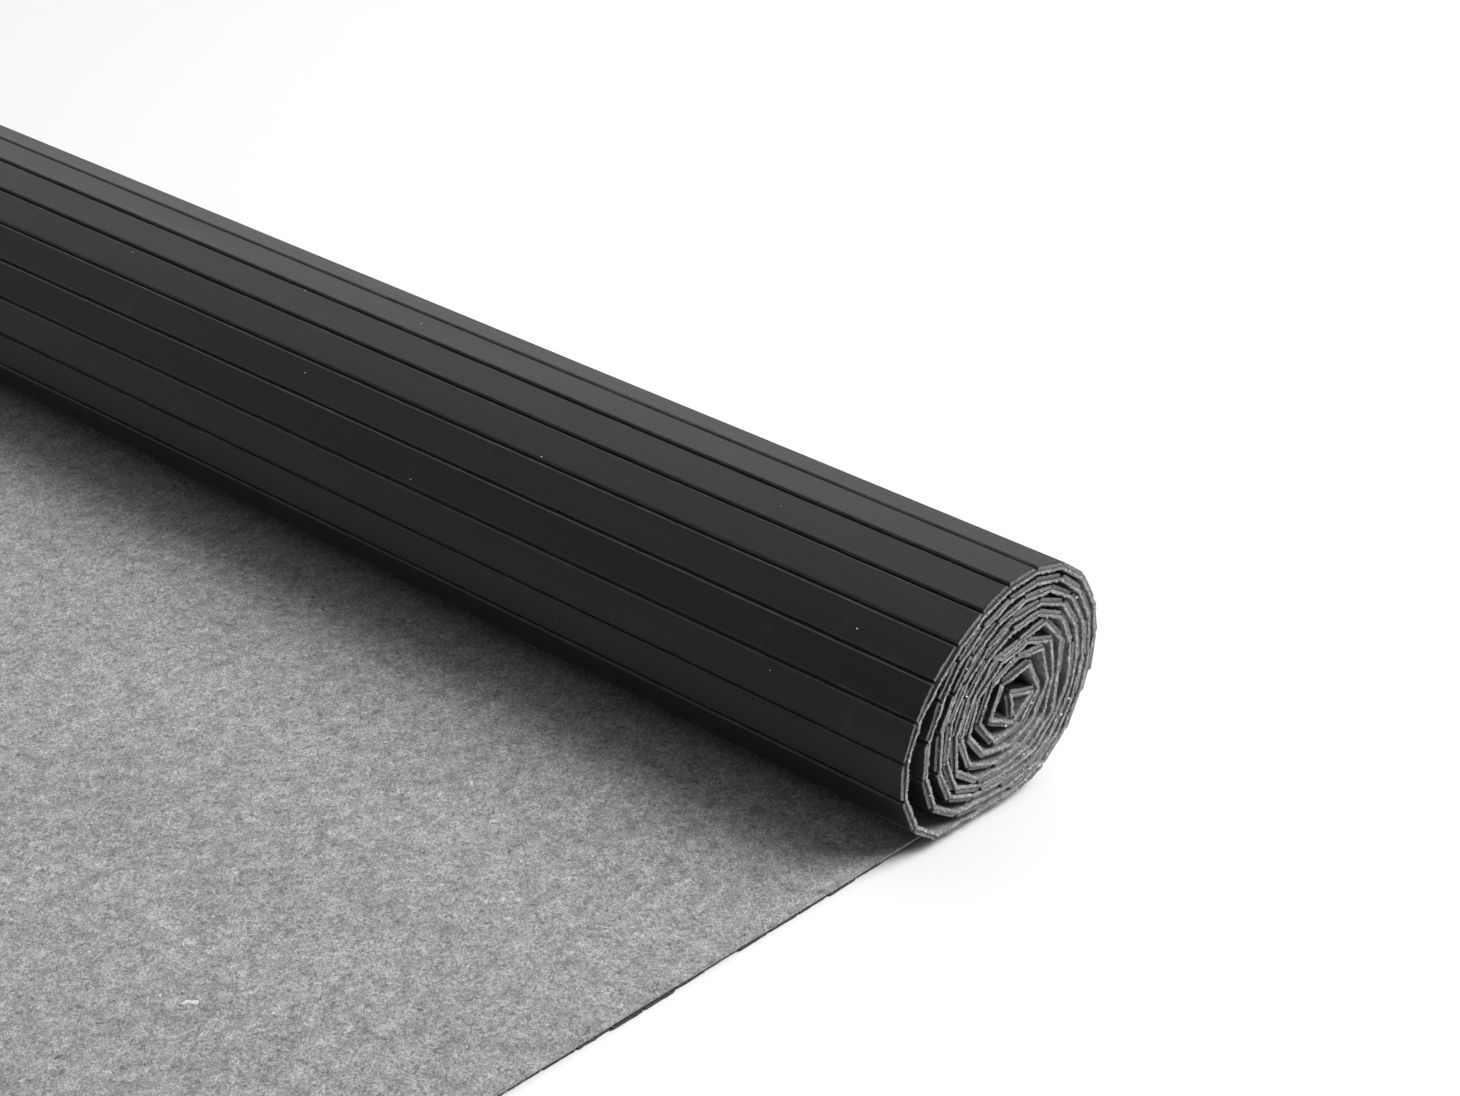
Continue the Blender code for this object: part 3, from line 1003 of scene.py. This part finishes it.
# %% Dress the pieces
SMOOTH_ANGLE = math.radians(28.0)
for slat in face_slats + [inner_slats]:
    slat.data.materials.clear()
    slat.data.materials.append(lacquer)
    slat.data.materials.append(sawn)
    for face in slat.data.polygons:
        face.material_index = 1 if abs(face.normal.y) > 0.5 else 0
felt.data.materials.append(wool)
for piece in (near_fringe, far_fringe, near_tufts, far_tufts):
    piece.data.materials.append(loose)
lint.data.materials.append(white)
for piece in face_slats + [inner_slats, felt, lint]:
    only(piece)
    bpy.ops.object.shade_smooth_by_angle(angle=SMOOTH_ANGLE)

# %% [markdown]
# ## Floor and light
# The floor is plain and pale. The main light is a wide softbox on the right, 43 degrees up: it
# lights the roll's end and the felt, and lets the roll's wide soft shadow fall on the felt.
# The black slats show little but reflections, so a pale wall behind and above the roll gives
# its top slats their grey sheen, and the dim room in front keeps the others black.

# %% Floor
bpy.ops.object.select_all(action="DESELECT")
bpy.ops.mesh.primitive_plane_add(size=12.0, location=(0.0, 0.0, cad_box[0][2]))
floor = bpy.context.object
floor.name = "floor"
paper, tree, shader = start_material("pale_floor", 0.9)
shader.inputs["Base Color"].default_value = (0.90, 0.90, 0.90, 1.0)
shader.inputs["Specular IOR Level"].default_value = 0.2
floor.data.materials.append(paper)

# %% Light from the room
ROOM_LIGHT = 0.16
WALL = (0.45, 0.65, 0.61)    # direction of the pale wall
world = bpy.data.worlds.new("studio")
bpy.context.scene.world = world
world.use_nodes = True
tree = world.node_tree
background = tree.nodes["Background"]
background.inputs["Color"].default_value = (1.0, 1.0, 1.0, 1.0)
direction = add(tree, "ShaderNodeTexCoord").outputs["Generated"]
towards = add(
    tree, "ShaderNodeVectorMath", [(0, direction)], [(1, WALL)], operation="DOT_PRODUCT")


def glow(low, high, strength):
    """Light that grows towards the wall, between two cosines of the angle to it."""
    node = add(
        tree, "ShaderNodeMapRange", [("Value", towards.outputs["Value"])],
        [("From Min", low), ("From Max", high), ("To Min", 0.0), ("To Max", strength)],
        interpolation_type="SMOOTHSTEP")
    return node.outputs["Result"]


around = calc(tree, "ADD", glow(0.15, 0.60, 0.20), glow(0.76, 0.99, 0.66))
around = calc(tree, "ADD", around, ROOM_LIGHT)
tree.links.new(around, background.inputs["Strength"])
print("room light", ROOM_LIGHT)

# %% [markdown]
# The camera itself sees a plain pale backdrop beyond the floor, not the glow of the wall.

# %% Plain backdrop
plain = add(
    tree, "ShaderNodeBackground", (), [("Color", (1.0, 1.0, 1.0, 1.0)), ("Strength", 1.0)])
seen = add(tree, "ShaderNodeLightPath").outputs["Is Camera Ray"]
backdrop = add(
    tree, "ShaderNodeMixShader",
    [(0, seen), (1, background.outputs["Background"]), (2, plain.outputs["Background"])])
tree.links.new(backdrop.outputs["Shader"], tree.nodes["World Output"].inputs["Surface"])
print("backdrop set")


# %% Softbox
LAMP_PLACE = (2.9, -2.7, 3.6)
LAMP_AIM = Vector((0.0, -0.2, 0.0))
LAMP_SIZE = 3.0
LAMP_POWER = 345.0           # watts


def add_softbox(name, location, size, power):
    """A square lamp that faces the mat."""
    lamp = bpy.data.lights.new(name, "AREA")
    lamp.shape = "SQUARE"
    lamp.size = size
    lamp.energy = power
    box = bpy.data.objects.new(name, lamp)
    box.location = location
    aim = LAMP_AIM - Vector(location)
    box.rotation_euler = aim.to_track_quat("-Z", "Y").to_euler()
    bpy.context.collection.objects.link(box)


add_softbox("right_softbox", LAMP_PLACE, LAMP_SIZE, LAMP_POWER)
scene = bpy.context.scene
scene.view_settings.view_transform = "Standard"
print("softbox and room light are set")
